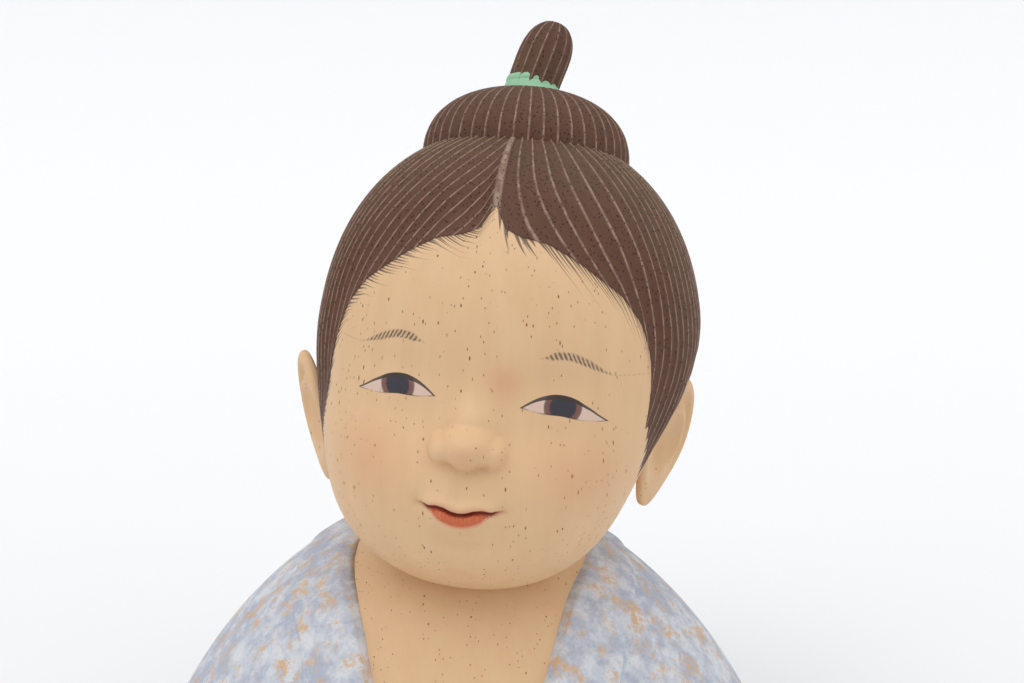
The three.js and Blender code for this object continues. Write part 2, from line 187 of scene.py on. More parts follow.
def mesh_object(name, rings, ends, material, slot, **attributes):
    """A closed piece from a grid of rings, given in millimetres.

    rings has the shape (rows, columns, 3), and its columns run all the way round.
    ends are the two points that close the first and the last ring. Attributes have
    a value, or three, for each point of the rings. Points that coincide become one,
    and triangles turn outwards.
    """
    rows, columns, _ = rings.shape
    points = np.vstack([rings.reshape(-1, 3), ends])
    index = np.arange(rows * columns).reshape(rows, columns)
    after = np.roll(index, -1, axis=1)
    low, low_next, high, high_next = index[:-1], after[:-1], index[1:], after[1:]
    mirrored = (np.arange(columns) < columns / 2)[None, :]
    first = np.stack([low, low_next, np.where(mirrored, high, high_next)], -1).reshape(-1, 3)
    second = np.stack([np.where(mirrored, low_next, low), high_next, high], -1).reshape(-1, 3)
    foot = np.stack([after[0], index[0], np.full(columns, rows * columns)], -1)
    top = np.stack([index[-1], after[-1], np.full(columns, rows * columns + 1)], -1)
    triangles = np.vstack([first, second, foot, top])
    _, kept, merged = np.unique(np.round(points, 4), axis=0, return_index=True, return_inverse=True)
    triangles = merged.reshape(-1)[triangles]
    real = (triangles[:, 0] != triangles[:, 1]) & (triangles[:, 1] != triangles[:, 2])
    triangles = triangles[real & (triangles[:, 2] != triangles[:, 0])]
    points = points[kept]
    corners = points[triangles]
    if np.einsum("ij,ij->i", corners[:, 0], np.cross(corners[:, 1], corners[:, 2])).sum() < 0:
        triangles = triangles[:, ::-1]

    mesh = bpy.data.meshes.new(name)
    mesh.vertices.add(len(points))
    mesh.vertices.foreach_set("co", (points * MM).ravel())
    mesh.loops.add(triangles.size)
    mesh.loops.foreach_set("vertex_index", triangles.ravel())
    mesh.polygons.add(len(triangles))
    mesh.polygons.foreach_set("loop_start", np.arange(0, triangles.size, 3))
    mesh.polygons.foreach_set("use_smooth", np.ones(len(triangles), bool))
    for key, values in attributes.items():
        values = np.asarray(values, float)
        width = values.shape[2] if values.ndim == 3 else 1
        flat = values.reshape(-1, width)
        flat = np.vstack([flat, flat[:columns].mean(0), flat[-columns:].mean(0)])[kept]
        layer = mesh.attributes.new(key, "FLOAT_VECTOR" if width == 3 else "FLOAT", "POINT")
        layer.data.foreach_set("vector" if width == 3 else "value", flat.ravel())
    mesh.update(calc_edges=True)
    mesh.materials.append(material)
    piece = bpy.data.objects.new(name, mesh)
    bpy.context.scene.collection.objects.link(piece)
    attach(piece, "root")
    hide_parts(NODE)
    return piece


# The skull and the plane of the face

FACE_ROLL = math.radians(2.3)
FACE_ASIDE = -1.18
FACE_PIVOT = -10
CROWDED_ELEVATION = -14


def skull_surface(direction):
    """The bare skull in unit directions.

    It is the surface where the sum of |coordinate / reach| ** 2.26 is one. The
    reach to the side, front and back shrinks below the eyes. Then the jaw moves
    forward, and a little aside.
    """
    sizes = bpy.context.scene.doll_head
    x, y, z = np.moveaxis(direction, -1, 0)
    power = 2.26
    radius = np.full(x.shape, sizes.half_width / MM)
    for _ in range(5):
        height = radius * z
        width = sizes.half_width / MM * (1 - 0.1 * ramp(12, -27, height))
        front = sizes.front / MM * (1 - 0.15 * ramp(-10, -46, height))
        back = sizes.back / MM * (1 - 0.25 * ramp(-5, -40, height))
        reach = np.where(z > 0, sizes.up, sizes.down) / MM
        depth = np.where(y < 0, front, back)
        total = np.abs(x / width) ** power + np.abs(y / depth) ** power + np.abs(z / reach) ** power
        radius = total ** (-1 / power)
    point = direction * radius[..., None]
    height = point[..., 2].copy()
    point[..., 1] -= 13.9 * ramp(0, -38, height)
    point[..., 0] -= 3.7 * ramp(15, -30, height)
    return point


def head_in_place(points):
    """Turns, bows and rolls points of the head, and lifts them onto the neck."""
    sizes = bpy.context.scene.doll_head
    held = turn(1, sizes.rolled) @ turn(0, sizes.bowed) @ turn(2, -sizes.turned)
    return points @ held.T + np.array([10.47, 0, sizes.centre_height / MM])


def face_plane(x, z):
    """From the head's x and z to the face's own: rolled about a pivot between nose and eyes."""
    aside, above = x - FACE_ASIDE, z - FACE_PIVOT
    return (
        aside * math.cos(FACE_ROLL) - above * math.sin(FACE_ROLL),
        FACE_PIVOT + above * math.cos(FACE_ROLL) + aside * math.sin(FACE_ROLL),
    )


def eye_plane(x, z):
    """Coordinates of the nearer eye: outward from the face's middle line, and up. The eyes' line dips to the right."""
    side = np.abs(x - 0.35)
    return side, z + 0.027 * x


UPPER_LID = [(7, -1.6), (8.8, -0.2), (10.5, 1.05), (12, 1.95), (13.5, 2.55), (15.3, 2.95), (17, 2.9), (18.5, 2.6),
             (20, 2.05), (21.5, 1.1), (23, 0.2), (24.5, -1.0), (26.3, -2.15), (28, -3.6)]
LOWER_LID = [(7, 0.4), (8.8, -0.2), (10.5, -0.55), (12.5, -1.0), (15, -1.1), (17, -1.15), (19, -1.6), (21, -2.05),
             (23.5, -2.15), (25, -2.25), (26.3, -2.15), (28, -1.8)]
LIP_LINE = [(0, -22.2), (1.5, -22), (3, -21.4), (4.6, -21.2), (6.4, -21.6), (8.6, -21.2), (12, -20.8)]
LIP_TOP = [(0, -20.9), (1.4, -20.5), (3, -20), (4.6, -20.2), (6.5, -20.9), (8, -21.3), (12, -22)]
LIP_BOTTOM = [(0, -25.8), (1.5, -25.7), (2.9, -25.2), (4.6, -24.3), (6, -22.9), (7.4, -21.9), (12, -20)]
BROW = [(11, 9.9), (13.2, 10.5), (15.2, 11), (17, 11.1), (18.5, 10.9), (20, 10.35), (22, 9.5), (24, 8.5), (26.5, 7.3)]
MOUTH_ASIDE = -0.7
NOSE_ASIDE = -0.5


def lump(x, z, centre, radii):
    """How far an egg-shaped lump reaches forward at (x, z). Outside it, a place far behind the face."""
    inside = 1 - ((x - centre[0]) / radii[0]) ** 2 - ((z - centre[2]) / radii[2]) ** 2
    return np.where(inside > 0, radii[1] * np.sqrt(np.maximum(inside, 0)) - centre[1], -100)


def face_relief(x, z, forward):
    """How far the carved face reaches forward at (x, z) of its plane, from the bare skull's reach.

    Wide bell-shaped hills and hollows make cheeks, sockets, muzzle and chin. The
    nose is a ball and two wings, blended where they meet. The lips are egg-shaped
    too, with a groove along the line where they meet.
    """
    side, level = eye_plane(x, z)
    forward = forward - 1.6 * hill((side - 17) / 9, (z - 2) / 6.5) + 1.2 * hill((side - 17.3) / 8.5, level / 4)
    forward = forward + 2.2 * hill((side - 22) / 11, (z + 17) / 10)
    forward = forward + 2.6 * hill(x / 9.5, (z + 19) / 8.5) + 1.8 * hill(x / 9, (z + 35) / 6)
    forward = forward - 1.1 * hill(x / 7, (z + 28.6) / 2.2)
    nose = x - NOSE_ASIDE
    forward = forward + 3.4 * hill(nose / 4.6, (z + 4.5) / 5.2)
    ball = lump(nose, z, (0, -43.6, -9), (6.5, 9.6, 5.2))
    wings = lump(np.abs(nose), z, (5.1, -43.2, -10.1), (3.7, 7.2, 3.9))
    nostrils = 2.6 * hill((np.abs(nose) - 3.4) / 1.25, (z + 13.1) / 0.9)
    forward = smooth_max(forward, smooth_max(ball, wings, 1.6) - nostrils, 0.9)
    mouth = np.abs(x - MOUTH_ASIDE)
    meeting = curve(LIP_LINE, mouth, 0.6)
    spread = ramp(9.2, 6, mouth)
    upper = 0.9 * hill((z - meeting - 1.1) / 1.3) * spread
    lower = 1.5 * hill((z - meeting + 1.7) / 1.7) * ramp(7.2, 3, mouth)
    groove = 1.3 * hill((z - meeting + 0.15) / 0.42) * ramp(10, 7, mouth)
    philtrum = 0.5 * hill(mouth / 1.4, (z + 17.4) / 2.6)
    corners = 0.6 * hill((mouth - 9) / 1.3, (z + 21.3) / 1.6)
    return forward + upper + lower - groove - philtrum - corners


# The hair's own lines

HAIRLINE = [(0, 53.6), (1.2, 55.6), (3.5, 60), (8, 62), (15, 63.2), (23, 67), (29, 70.5), (36, 74.2), (42.5, 80),
            (47.5, 88), (52, 97), (57, 107), (64, 117), (75, 125), (81, 119), (87, 106), (94, 99), (104, 99),
            (119, 106), (150, 114), (180, 117)]
HAIR_TOP = 19
BUN_AXIS_TILT = math.radians(14)


def hairline(around):
    """Angle of the hairline from the bun's axis, by the angle round it."""
    return curve(HAIRLINE, np.abs(around), 1.2)


def along_bun_axis(sideways, backward, axial):
    """Points by their distances square to the bun's axis and along it."""
    return np.stack([
        sideways + 0 * axial,
        backward * math.cos(BUN_AXIS_TILT) + axial * math.sin(BUN_AXIS_TILT),
        axial * math.cos(BUN_AXIS_TILT) - backward * math.sin(BUN_AXIS_TILT),
    ], axis=-1)


def from_bun_axis(around, away):
    """Unit vectors by the angle round the bun's axis, in degrees, and the angle away from it."""
    around, away = np.radians(around), np.radians(away)
    return along_bun_axis(np.sin(away) * np.sin(around), -np.sin(away) * np.cos(around), np.cos(away))


def angles_from_bun(points):
    """The reverse of from_bun_axis, for any points of the head."""
    axial = points[..., 2] * math.cos(BUN_AXIS_TILT) + points[..., 1] * math.sin(BUN_AXIS_TILT)
    backward = points[..., 1] * math.cos(BUN_AXIS_TILT) - points[..., 2] * math.sin(BUN_AXIS_TILT)
    around = np.degrees(np.arctan2(points[..., 0], -backward))
    away = np.degrees(np.arctan2(np.hypot(points[..., 0], backward), axial))
    return around, away


def combed_left(lane, along):
    """Angle round the bun of a lane on the left, which is named by its angle at the hairline.

    Lanes leave the bun, or the parting where they would cross it, and sweep out evenly.
    """
    sweep = 34 * (1 - np.clip(along, 0, 1.3) ** 1.85) * ramp(180, 60, lane)
    return np.maximum(lane - sweep, 0)


def combed_right(lane, along):
    """Angle round the bun of a lane on the right, which is named by its angle at the bun.

    Lanes run straight down and sweep out late, the sooner the further they are from the parting.
    """
    sweep = 25 * (1 - np.exp(-lane / 14)) * ramp(180, 40, lane)
    return lane + sweep * np.clip(along, 0, 1.3) ** (2 + 4 * ramp(34, 8, lane))


def lane_right(around, along):
    """The reverse of combed_right, by steps that each take back a part of the error."""
    lane = 0.6 * around
    for _ in range(16):
        lane = np.maximum(lane + 0.4 * (around - combed_right(lane, along)), 0)
    return lane


def flute(phase):
    """Height across the gouged flutes: 1 on the sharp crests at whole numbers, 0 on the floor between."""
    return (2 * (phase - np.floor(phase)) - 1) ** 2


# Materials

def add(tree, kind, inputs=None, output=0, **settings):
    """Adds a node with its settings, fills its inputs with values or links, and returns one of its outputs."""
    node = tree.nodes.new(kind)
    for key, value in settings.items():
        setattr(node, key, value)
    for key, value in (inputs or {}).items():
        if isinstance(value, bpy.types.NodeSocket):
            tree.links.new(value, node.inputs[key])
        else:
            node.inputs[key].default_value = value
    return node.outputs[output] if len(node.outputs) else node


def new_material(name):
    material = bpy.data.materials.new(name)
    material.use_nodes = True
    material.node_tree.nodes.clear()
    return material, material.node_tree


def colour(key):
    """One of the doll's colours, with alpha."""
    return (*getattr(bpy.context.scene.doll_colours, key), 1)


def finish(tree, base, roughness, height=None, relief=0.1, specular=0.35, sheen=0.0):
    """Shader and output. Height is in millimetres of relief, and roughness is a value or a link."""
    inputs = {"Base Color": base, "Roughness": roughness, "IOR": 1.5, "Specular IOR Level": specular}
    if sheen:
        inputs["Sheen Weight"] = sheen
    if height is not None:
        inputs["Normal"] = add(tree, "ShaderNodeBump", {"Strength": 1, "Distance": relief * MM, "Height": height})
    shader = add(tree, "ShaderNodeBsdfPrincipled", inputs)
    add(tree, "ShaderNodeOutputMaterial", {"Surface": shader})


def stretched(tree, scale, offset=(0, 0, 0)):
    """Object coordinates in millimetres, divided by a cell's size along x, y and z."""
    place = add(tree, "ShaderNodeTexCoord", output="Object")
    factors = tuple(1 / (MM * size) for size in scale)
    return add(tree, "ShaderNodeMapping", {"Vector": place, "Scale": factors, "Location": offset})


def grain(tree, share=1.0):
    """Fine-grained hardwood, cut, sanded and waxed: returns its colour and its height.

    Pores open as short dashes along the grain, about 0.2 mm wide and 1 to 3 mm
    long, and as dots where the surface cuts across it. They crowd in some growth
    rings. Between them the wood is even, with faint lighter streaks.
    """
    streaks = add(tree, "ShaderNodeTexNoise", {"Vector": stretched(tree, (5, 5, 60)), "Scale": 1, "Detail": 4,
                                               "Roughness": 0.6})
    base = add(tree, "ShaderNodeMix", {0: streaks, 6: colour("skin"), 7: colour("skin_pale")}, 2, data_type="RGBA")
    rings = add(tree, "ShaderNodeTexNoise", {"Vector": stretched(tree, (9, 14, 50), (3, 7, 1)), "Scale": 1,
                                             "Detail": 2})
    height = None
    for cell, limit, strength in (((0.85, 0.85, 2.6), 0.16, 0.75), ((1.5, 1.5, 5.0), 0.13, 1.0)):
        dashes = add(tree, "ShaderNodeTexVoronoi", {"Vector": stretched(tree, cell), "Scale": 1, "Randomness": 1})
        picked = add(tree, "ShaderNodeTexVoronoi", {"Vector": stretched(tree, cell), "Scale": 1, "Randomness": 1},
                     "Color")
        chance = add(tree, "ShaderNodeSeparateColor", {0: picked})
        threshold = add(tree, "ShaderNodeMapRange", {0: rings, 1: 0.35, 2: 0.68, 3: 0.2 * share, 4: 0.9 * share})
        open_pore = add(tree, "ShaderNodeMath", {0: chance, 1: threshold}, operation="LESS_THAN")
        spot = add(tree, "ShaderNodeMapRange", {0: dashes, 1: limit * 0.55, 2: limit, 3: strength, 4: 0})
        pore = add(tree, "ShaderNodeMath", {0: spot, 1: open_pore}, operation="MULTIPLY")
        base = add(tree, "ShaderNodeMix", {0: pore, 6: base, 7: colour("pore")}, 2, data_type="RGBA")
        height = pore if height is None else add(tree, "ShaderNodeMath", {0: height, 1: pore}, operation="MAXIMUM")
    depth = add(tree, "ShaderNodeMath", {0: height, 1: -1}, operation="MULTIPLY")
    return base, depth


def bare_wood():
    """Waxed bare wood of ears, neck and chest: even, satin, with a few open pores."""
    material, tree = new_material("waxed bare wood")
    base, depth = grain(tree, 0.7)
    finish(tree, base, 0.55, depth, 0.12)
    return material


def face_wood():
    """Waxed bare wood with the painted eyes, brows, lips and hairline. Paint lies on the pores and has no relief.

    The attribute lids holds the heights above the upper and the lower lid line and
    the distance from the iris' middle, lips the heights above the meeting line, the
    lower edge and the upper edge, brow the place along and across the brow, and
    fringe the strand's number and the distance below the hairline, all in millimetres.
    """
    material, tree = new_material("waxed wood with painted face")
    base, depth = grain(tree)

    def field(name):
        vector = add(tree, "ShaderNodeAttribute", output="Vector", attribute_name=name)
        split = tree.nodes.new("ShaderNodeSeparateXYZ")
        tree.links.new(vector, split.inputs[0])
        return split.outputs

    def between(value, start, stop, low=0.0, high=1.0):
        return add(tree, "ShaderNodeMapRange", {0: value, 1: start, 2: stop, 3: low, 4: high},
                   interpolation_type="SMOOTHSTEP")

    def product(*values):
        result = values[0]
        for value in values[1:]:
            result = add(tree, "ShaderNodeMath", {0: result, 1: value}, operation="MULTIPLY")
        return result

    def over(below, paint_colour, mask):
        return add(tree, "ShaderNodeMix", {0: mask, 6: below, 7: paint_colour}, 2, data_type="RGBA")

    soft = add(tree, "ShaderNodeTexNoise", {"Vector": stretched(tree, (0.5, 0.5, 1.2)), "Scale": 1, "Detail": 3})
    # The stain attribute reddens both cheeks, the nose and a patch at the right of the nose root.
    stain = field("stain")
    base = over(base, colour("red_tint"), stain[0])

    above_upper, above_lower, from_iris = field("lids")
    opening = product(between(above_upper, 0.05, -0.15), between(above_lower, -0.1, 0.12))
    base = over(base, colour("eye_white"), product(opening, 0.85))
    iris_edge = product(opening, between(from_iris, 3.95, 3.65))
    base = over(base, colour("lash"), product(iris_edge, 0.8))
    ring = product(opening, between(from_iris, 3.6, 3.3), between(soft, 0.3, 0.6, 0.6, 1))
    base = over(base, colour("iris"), ring)
    base = over(base, colour("pupil"), product(opening, between(from_iris, 2.9, 2.4)))
    stroke = field("lash")
    upper_line = product(between(above_upper, 0.12, -0.02),
                         add(tree, "ShaderNodeMath", {0: above_upper, 1: stroke[0]}, operation="GREATER_THAN"),
                         between(above_lower, -0.2, 0.05))
    base = over(base, colour("lash"), product(upper_line, 0.92))
    lower_line = product(between(above_lower, 0.22, 0.06), between(above_lower, -0.2, -0.06),
                         stroke[1], between(above_upper, 0.1, -0.1))
    base = over(base, colour("lash"), lower_line)

    above_meeting, above_bottom, above_top = field("lips")
    lower_lip = product(between(above_meeting, 0.15, -0.1), between(above_bottom, -0.15, 0.35))
    streak = add(tree, "ShaderNodeTexNoise", {"Vector": stretched(tree, (0.35, 0.6, 3.0)), "Scale": 1, "Detail": 2})
    base = over(base, colour("lip_pale"), product(lower_lip, 0.8))
    base = over(base, colour("lip"), product(between(above_meeting, 0.15, -0.1), between(above_bottom, 0.3, 1.3),
                                             between(streak, 0.2, 0.55, 0.7, 1)))
    base = over(base, colour("lip_dark"), product(between(above_meeting, -1.6, -0.2), lower_lip,
                                                  between(streak, 0.45, 0.75, 0.1, 0.8)))
    upper_lip = product(between(above_top, 0.5, -0.5), between(above_meeting, -0.1, 0.1))
    base = over(base, colour("lip_pale"), product(upper_lip, 0.6))
    base = over(base, colour("lip_dark"), product(between(above_meeting, 0.55, 0.1), between(above_meeting, -0.75, -0.3),
                                                  between(above_bottom, 0.0, 0.5), between(above_top, 0.1, -0.3)))

    along_brow, across_brow, half_brow = field("brow")
    slanted = add(tree, "ShaderNodeMath", {0: across_brow, 1: 0.55, 2: along_brow}, operation="MULTIPLY_ADD")
    wobble = add(tree, "ShaderNodeMath", {0: soft, 1: 0.5, 2: slanted}, operation="MULTIPLY_ADD")
    hairs = add(tree, "ShaderNodeMath", {0: wobble, 1: 0.46}, operation="PINGPONG")
    edge = add(tree, "ShaderNodeMath", {0: across_brow}, operation="ABSOLUTE")
    inside = add(tree, "ShaderNodeMath", {0: half_brow, 1: edge}, operation="SUBTRACT")
    brow = product(between(inside, -0.25, 0.35), between(hairs, 0.12, 0.34, 0.15, 0.85))
    base = over(base, colour("hair_brush"), brow)

    number, below, _ = field("fringe")
    for per_strand, longest, width, darkness in ((5.3, 4.5, 0.38, 0.85), (2.3, 8.5, 0.15, 0.8)):
        scaled = add(tree, "ShaderNodeMath", {0: number, 1: per_strand}, operation="MULTIPLY")
        cell = add(tree, "ShaderNodeMath", {0: scaled}, operation="FLOOR")
        chance = add(tree, "ShaderNodeTexWhiteNoise", {"W": cell}, noise_dimensions="1D")
        shifted = add(tree, "ShaderNodeMath", {0: scaled, 1: cell}, operation="SUBTRACT")
        middle = add(tree, "ShaderNodeMapRange", {0: chance, 1: 0, 2: 1, 3: -0.38, 4: -0.62})
        aside = add(tree, "ShaderNodeMath", {0: shifted, 1: middle}, operation="ADD")
        aside = add(tree, "ShaderNodeMath", {0: aside}, operation="ABSOLUTE")
        reach = add(tree, "ShaderNodeMapRange", {0: chance, 1: 0, 2: 1, 3: longest * 0.35, 4: longest})
        share = add(tree, "ShaderNodeMath", {0: below, 1: reach}, operation="DIVIDE")
        half = add(tree, "ShaderNodeMapRange", {0: share, 1: -0.2, 2: 1, 3: width, 4: 0})
        room = add(tree, "ShaderNodeMath", {0: half, 1: aside}, operation="SUBTRACT")
        mask = product(between(room, 0, 0.08), between(share, 1.0, 0.85), darkness)
        base = over(base, colour("hair_brush"), mask)
    base = over(base, colour("hair"), between(below, 0.5, -0.6))
    finish(tree, base, 0.52, depth, 0.12)
    return material


def stained_flutes(name, olive):
    """Gouge-cut wood with a thin brown stain: dark floors, crests worn to bare wood, dark open pores.

    The attribute flute holds the strand's number, the share of the way along it and
    the height between floor and crest.
    """
    material, tree = new_material(name)
    vector = add(tree, "ShaderNodeAttribute", output="Vector", attribute_name="flute")
    split = tree.nodes.new("ShaderNodeSeparateXYZ")
    tree.links.new(vector, split.inputs[0])
    number, along, height = split.outputs
    patches = add(tree, "ShaderNodeTexNoise", {"Vector": stretched(tree, (9, 9, 16)), "Scale": 1, "Detail": 4,
                                               "Roughness": 0.65})
    base = add(tree, "ShaderNodeMix", {0: patches, 6: colour("hair"), 7: colour("hair_warm")}, 2, data_type="RGBA")
    thin = add(tree, "ShaderNodeMapRange", {0: along, 1: 0.0, 2: 0.75, 3: olive, 4: 0})
    base = add(tree, "ShaderNodeMix", {0: thin, 6: base, 7: colour("hair_olive")}, 2, data_type="RGBA")
    lines = add(tree, "ShaderNodeCombineXYZ", {0: number, 1: along})
    fine = add(tree, "ShaderNodeMapping", {"Vector": lines, "Scale": (9, 14, 1)})
    scratches = add(tree, "ShaderNodeTexNoise", {"Vector": fine, "Scale": 1, "Detail": 3})
    shade = add(tree, "ShaderNodeMapRange", {0: scratches, 1: 0.35, 2: 0.7, 3: 0, 4: 0.5})
    base = add(tree, "ShaderNodeMix", {0: shade, 6: base, 7: colour("hair")}, 2, data_type="RGBA")
    worn = add(tree, "ShaderNodeTexNoise", {"Vector": stretched(tree, (1.6, 1.6, 2.6)), "Scale": 1, "Detail": 3})
    edge = add(tree, "ShaderNodeMapRange", {0: height, 1: 0.62, 2: 0.97, 3: 0, 4: 1})
    bare = add(tree, "ShaderNodeMapRange", {0: worn, 1: 0.3, 2: 0.62, 3: 0.25, 4: 0.9})
    crest = add(tree, "ShaderNodeMath", {0: edge, 1: bare}, operation="MULTIPLY")
    base = add(tree, "ShaderNodeMix", {0: crest, 6: base, 7: colour("hair_crest")}, 2, data_type="RGBA")
    pores = add(tree, "ShaderNodeTexVoronoi", {"Vector": stretched(tree, (0.75, 0.75, 1.1)), "Scale": 1})
    spots = add(tree, "ShaderNodeMapRange", {0: pores, 1: 0.14, 2: 0.3, 3: 0.75, 4: 0})
    base = add(tree, "ShaderNodeMix", {0: spots, 6: base, 7: (*linear("#2c1c14"), 1)}, 2, data_type="RGBA")
    depth = add(tree, "ShaderNodeMath", {0: spots, 1: -1}, operation="MULTIPLY")
    finish(tree, base, 0.62, depth, 0.15, 0.3)
    return material


def mint_paint():
    """Matt mint-green paint, brushed thinly on wood."""
    material, tree = new_material("matt mint paint on wood")
    noise = add(tree, "ShaderNodeTexNoise", {"Vector": stretched(tree, (1.2, 1.2, 0.5)), "Scale": 1, "Detail": 3})
    base = add(tree, "ShaderNodeMix", {0: noise, 6: colour("tie"), 7: (*linear("#a9d6b4"), 1)}, 2, data_type="RGBA")
    finish(tree, base, 0.6, noise, 0.05)
    return material


def painted_robe():
    """Matt mineral paint dabbed on wood in thin layers: grey-blue ground with whitish and gold-ochre dabs."""
    material, tree = new_material("dabbed mineral paint on wood")
    cloud = add(tree, "ShaderNodeTexNoise", {"Vector": stretched(tree, (7, 7, 7)), "Scale": 1, "Detail": 5,
                                             "Roughness": 0.7})
    fine = add(tree, "ShaderNodeTexNoise", {"Vector": stretched(tree, (0.7, 0.7, 0.7)), "Scale": 1, "Detail": 3})
    pale = add(tree, "ShaderNodeMapRange", {0: cloud, 1: 0.42, 2: 0.6, 3: 0, 4: 1})
    base = add(tree, "ShaderNodeMix", {0: pale, 6: colour("robe"), 7: colour("robe_pale")}, 2, data_type="RGBA")
    gold = add(tree, "ShaderNodeTexNoise", {"Vector": stretched(tree, (6, 6, 6), (11, 3, 5)), "Scale": 1, "Detail": 6,
                                            "Roughness": 0.75})
    mixed = add(tree, "ShaderNodeMath", {0: fine, 1: 0.35, 2: gold}, operation="MULTIPLY_ADD")
    dabs = add(tree, "ShaderNodeMapRange", {0: mixed, 1: 0.7, 2: 0.8, 3: 0, 4: 0.85})
    base = add(tree, "ShaderNodeMix", {0: dabs, 6: base, 7: colour("robe_ochre")}, 2, data_type="RGBA")
    speckle = add(tree, "ShaderNodeMapRange", {0: fine, 1: 0.35, 2: 0.7, 3: 0, 4: 0.3})
    base = add(tree, "ShaderNodeMix", {0: speckle, 6: base, 7: colour("robe_pale")}, 2, data_type="RGBA")
    finish(tree, base, 0.75, fine, 0.08, 0.25)
    return material


# Pieces

def fringe_numbers(around, away):
    """Strand number and distance below the hairline, in millimetres, for points of the head."""
    along = np.clip((away - HAIR_TOP) / (hairline(around) - HAIR_TOP), 0.5, 1.25)
    side = np.abs(around)
    sweep = 34 * (1 - along ** 1.85)
    lane = np.where(around < 0, side - sweep, lane_right(side, along))
    number = lane * strands_on(np.where(around < 0, -1, 1)) / 180
    return np.sign(around) * number, (away - hairline(around)) * math.radians(46)


def strands_on(side):
    """Strands on a side of the parting. The right has two more, so that they stay as broad."""
    return bpy.context.scene.doll_hair.strands + np.where(side < 0, 0, 2)


class CARVE_OT_face(bpy.types.Operator):
    """Carves and paints the face and the skull under the hair"""

    bl_idname = "carve.face"
    bl_label = "Face"

    def execute(self, context):
        columns, rows = 440, 214
        across = np.arange(columns) / columns * 2 - 1
        climb = (np.arange(1, rows) / rows * 2 - 1)[:, None]
        azimuth = np.pi * (0.26 * across + 0.74 * across ** 3) + 0 * climb
        reach = np.where(climb > 0, 90 - CROWDED_ELEVATION, 90 + CROWDED_ELEVATION)
        spread = 0.3 * np.abs(climb) + 0.7 * np.abs(climb) ** 2.2
        elevation = np.radians(CROWDED_ELEVATION + np.sign(climb) * reach * spread) + 0 * across
        direction = directions(azimuth, elevation)
        skull = skull_surface(direction)
        x, z = face_plane(skull[..., 0], skull[..., 2])
        facing = ramp(0.1, 0.5, -direction[..., 1])
        relief = face_relief(x, z, -skull[..., 1]) + skull[..., 1]
        carved = skull.copy()
        carved[..., 1] -= facing * relief

        side, level = eye_plane(x, z)
        upper = curve(UPPER_LID, side, 1.2)
        lower = curve(LOWER_LID, side, 1.2)
        iris = np.hypot(side - 17.2, level - 0.5)
        lids = np.stack([level - upper, level - lower, iris], -1)
        lash = np.stack([-0.25 - 0.75 * hill((side - 16.5) / 5.5), hill((side - 16.5) / 4) + 0.5 * ramp(23, 25.5, side)
                         + 0.5 * ramp(11, 9.5, side), 0 * side], -1)
        mouth = np.abs(x - MOUTH_ASIDE)
        lips = np.stack([z - curve(LIP_LINE, mouth, 0.6), z - curve(LIP_BOTTOM, mouth, 0.6),
                         z - curve(LIP_TOP, mouth, 0.6)], -1)
        brow_line = curve(BROW, side, 1.5)
        half_brow = 0.85 * ramp(12, 15, side) * ramp(27, 21, side)
        brow = np.stack([side, level - brow_line, np.where(side < 30, half_brow, 0) - 0.4 * (side < 11.5)], -1)
        number, below = fringe_numbers(*angles_from_bun(carved))
        around = np.abs(angles_from_bun(carved)[0])
        below = below + 12 * ramp(62, 72, around)
        fringe = np.stack([number, below, 0 * below], -1)
        # Redder on both cheeks, over the nose ball, and in a one-sided patch at the right of the nose root.
        stain = 0.45 * hill((side - 22) / 8, (z + 14) / 7) + 0.5 * hill((x - 6) / 3.5, (z - 4.5) / 3.5)
        stain = stain + 0.25 * hill(x / 7, (z + 10) / 4)

        poles = skull_surface(np.array([[0, 0, -1.0], [0, 0, 1.0]]))
        mesh_object("face", head_in_place(carved), head_in_place(poles), face_wood(), "skin",
                    lids=lids, lash=lash, lips=lips, brow=brow, fringe=fringe,
                    stain=np.stack([stain, 0 * stain, 0 * stain], -1))
        return {"FINISHED"}


class CARVE_OT_ears(bpy.types.Operator):
    """Carves both ears"""

    bl_idname = "carve.ears"
    bl_label = "Ears"

    def execute(self, context):
        sizes = context.scene.doll_head
        material = bare_wood()
        columns, rows = 150, 96
        around = 2 * np.pi * np.arange(columns)[None, :] / columns
        polar = np.pi * (np.arange(1, rows) / rows)[:, None]
        for name, side in (("ear_right", 1), ("ear_left", -1)):
            points = self.leaf(around, polar, sizes)
            ends = self.leaf(np.zeros((1, 1)), np.array([[0.0], [np.pi]]), sizes).reshape(2, 3)
            for part in (points, ends):
                part[..., 0] = side * part[..., 0] - 3.8
            mesh_object(name, head_in_place(points), head_in_place(ends), material, "skin")
        return {"FINISHED"}

    @staticmethod
    def leaf(around, polar, sizes):
        """An oval leaf: thickness, width and length times sine and cosine of the two angles.

        Its outer face has a raised rim, a hollow in front, a ridge inside the rim and
        a full lobe. Then it leans back, turns out from the head and leans in below.
        """
        out, up = np.cos(polar), np.sin(around)
        fromm = np.sin(polar)
        ahead = -np.cos(around) * fromm
        height = up * fromm
        lobe = ramp(-0.35, -0.8, height)
        hollow = -3.0 * hill((ahead - 0.12) / 0.42, (height + 0.05) / 0.42)
        groove = -1.0 * hill((fromm - 0.7) / 0.1) * ramp(-0.5, 0.1, height)
        ridge = 0.8 * hill((fromm - 0.5) / 0.12) * ramp(0.4, -0.3, ahead) * ramp(-0.5, 0, height)
        rim = 0.5 * hill((fromm - 0.9) / 0.1)
        face = np.where(out > 0, (hollow + groove + ridge + rim) * (1 - lobe) + 0.4 * lobe, 0)
        narrow = 1 - 0.3 * ramp(0.1, -1, up)
        point = np.stack([
            1.9 * np.sign(out) * np.abs(out) ** 0.7 + face,
            -sizes.ear_half_width / MM * narrow * ahead,
            sizes.ear_half_length / MM * height,
        ], axis=-1)
        leaning = turn(1, math.radians(12)) @ turn(2, math.radians(-30)) @ turn(0, math.radians(-6))
        return point @ leaning.T + np.array([40.4, -6, -15.5])


